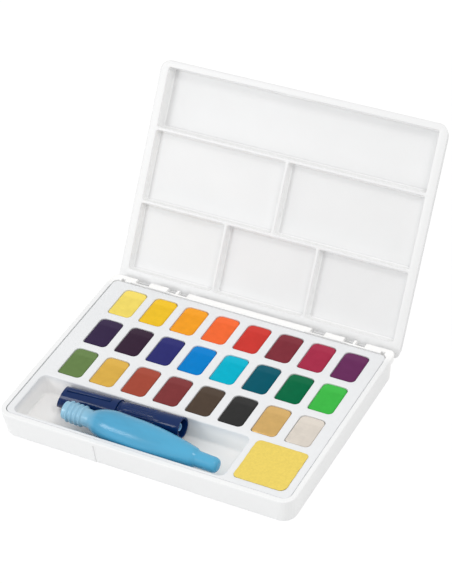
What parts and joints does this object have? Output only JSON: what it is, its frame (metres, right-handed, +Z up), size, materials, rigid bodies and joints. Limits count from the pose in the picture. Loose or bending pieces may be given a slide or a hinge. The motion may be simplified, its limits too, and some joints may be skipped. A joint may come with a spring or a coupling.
{
  "type": "watercolour paint box",
  "caption": "Flat white paint box whose hinged lid is a mixing palette, with rows of colour pans, a water brush and its tank in a compartment, and a square sponge.",
  "frame": {"origin": "middle of the case's underside, between its side walls", "axes": "+Z up, +X to the right of someone who faces the open box, +Y towards the hinge"},
  "size_m": [0.1656, 0.1964, 0.1091],
  "materials": {
    "white_case_plastic": "satin moulded white",
    "white_lid_plastic": "satin moulded white",
    "white_tray_plastic": "satin moulded white",
    "white_pan_plastic": "satin moulded white",
    "yellow_sponge": "fine open pores",
    "navy_plastic": "smooth",
    "feed_tube": "smooth",
    "bristles": "fine synthetic hair",
    "light_blue_plastic": "smooth, slightly translucent",
    "paint_lemon": "dry cast watercolour",
    "paint_yellow": "dry cast watercolour",
    "paint_orange": "dry cast watercolour",
    "paint_vermilion": "dry cast watercolour",
    "paint_red": "dry cast watercolour",
    "paint_crimson": "dry cast watercolour",
    "paint_magenta": "dry cast watercolour",
    "paint_purple": "dry cast watercolour",
    "paint_violet": "dry cast watercolour",
    "paint_plum": "dry cast watercolour",
    "paint_ultramarine": "dry cast watercolour",
    "paint_azure": "dry cast watercolour",
    "paint_turquoise": "dry cast watercolour",
    "paint_teal": "dry cast watercolour",
    "paint_viridian": "dry cast watercolour",
    "paint_green": "dry cast watercolour",
    "paint_olive": "dry cast watercolour",
    "paint_ochre": "dry cast watercolour",
    "paint_sienna": "dry cast watercolour",
    "paint_burnt_sienna": "dry cast watercolour",
    "paint_umber": "dry cast watercolour",
    "paint_black": "dry cast watercolour",
    "paint_gold": "dry cast watercolour",
    "paint_pearl": "dry cast watercolour"
  },
  "bodies": {
    "case": {"base_shell": "white_case_plastic", "pan_lemon": "white_pan_plastic", "pan_yellow": "white_pan_plastic", "pan_orange": "white_pan_plastic", "pan_vermilion": "white_pan_plastic", "pan_red": "white_pan_plastic", "pan_crimson": "white_pan_plastic", "pan_magenta": "white_pan_plastic", "pan_purple": "white_pan_plastic", "pan_violet": "white_pan_plastic", "pan_plum": "white_pan_plastic", "pan_ultramarine": "white_pan_plastic", "pan_azure": "white_pan_plastic", "pan_turquoise": "white_pan_plastic", "pan_teal": "white_pan_plastic", "pan_viridian": "white_pan_plastic", "pan_green": "white_pan_plastic", "pan_olive": "white_pan_plastic", "pan_ochre": "white_pan_plastic", "pan_sienna": "white_pan_plastic", "pan_burnt_sienna": "white_pan_plastic", "pan_umber": "white_pan_plastic", "pan_black": "white_pan_plastic", "pan_gold": "white_pan_plastic", "pan_pearl": "white_pan_plastic", "paint_lemon": "paint_lemon", "paint_yellow": "paint_yellow", "paint_orange": "paint_orange", "paint_vermilion": "paint_vermilion", "paint_red": "paint_red", "paint_crimson": "paint_crimson", "paint_magenta": "paint_magenta", "paint_purple": "paint_purple", "paint_violet": "paint_violet", "paint_plum": "paint_plum", "paint_ultramarine": "paint_ultramarine", "paint_azure": "paint_azure", "paint_turquoise": "paint_turquoise", "paint_teal": "paint_teal", "paint_viridian": "paint_viridian", "paint_green": "paint_green", "paint_olive": "paint_olive", "paint_ochre": "paint_ochre", "paint_sienna": "paint_sienna", "paint_burnt_sienna": "paint_burnt_sienna", "paint_umber": "paint_umber", "paint_black": "paint_black", "paint_gold": "paint_gold", "paint_pearl": "paint_pearl"},
    "cover": {"lid": "white_lid_plastic"},
    "tray": {"insert_tray": "white_tray_plastic"},
    "sponge_pad": {"sponge": "yellow_sponge"},
    "tank": {"water_tank": "light_blue_plastic"},
    "capped_brush": {"brush_cap": "navy_plastic"},
    "grip": {"brush_grip": "navy_plastic", "brush_feed": "feed_tube", "brush_tuft": "bristles"}
  },
  "joints": [
    {"name": "lid_hinge", "type": "hinge", "parent": "case", "child": "cover", "pos_m": [0, 0.059, 0.011], "axis": [-1, 0, 0], "range_deg": [-124, 0]},
    {"name": "tray_lift", "type": "slide", "parent": "case", "child": "tray", "axis": [0, 0, 1], "range_m": [0, 0.05]},
    {"name": "sponge_lift", "type": "slide", "parent": "tray", "child": "sponge_pad", "axis": [0, 0, 1], "range_m": [0, 0.03]},
    {"name": "tank_lift", "type": "slide", "parent": "tray", "child": "tank", "axis": [0, 0, 1], "range_m": [0, 0.04]},
    {"name": "brush_lift", "type": "slide", "parent": "tray", "child": "capped_brush", "axis": [0, 0, 1], "range_m": [0, 0.03]},
    {"name": "grip_pull", "type": "slide", "parent": "capped_brush", "child": "grip", "axis": [0.9986, 0.0042, 0.0523], "range_m": [0, 0.03]}
  ]
}
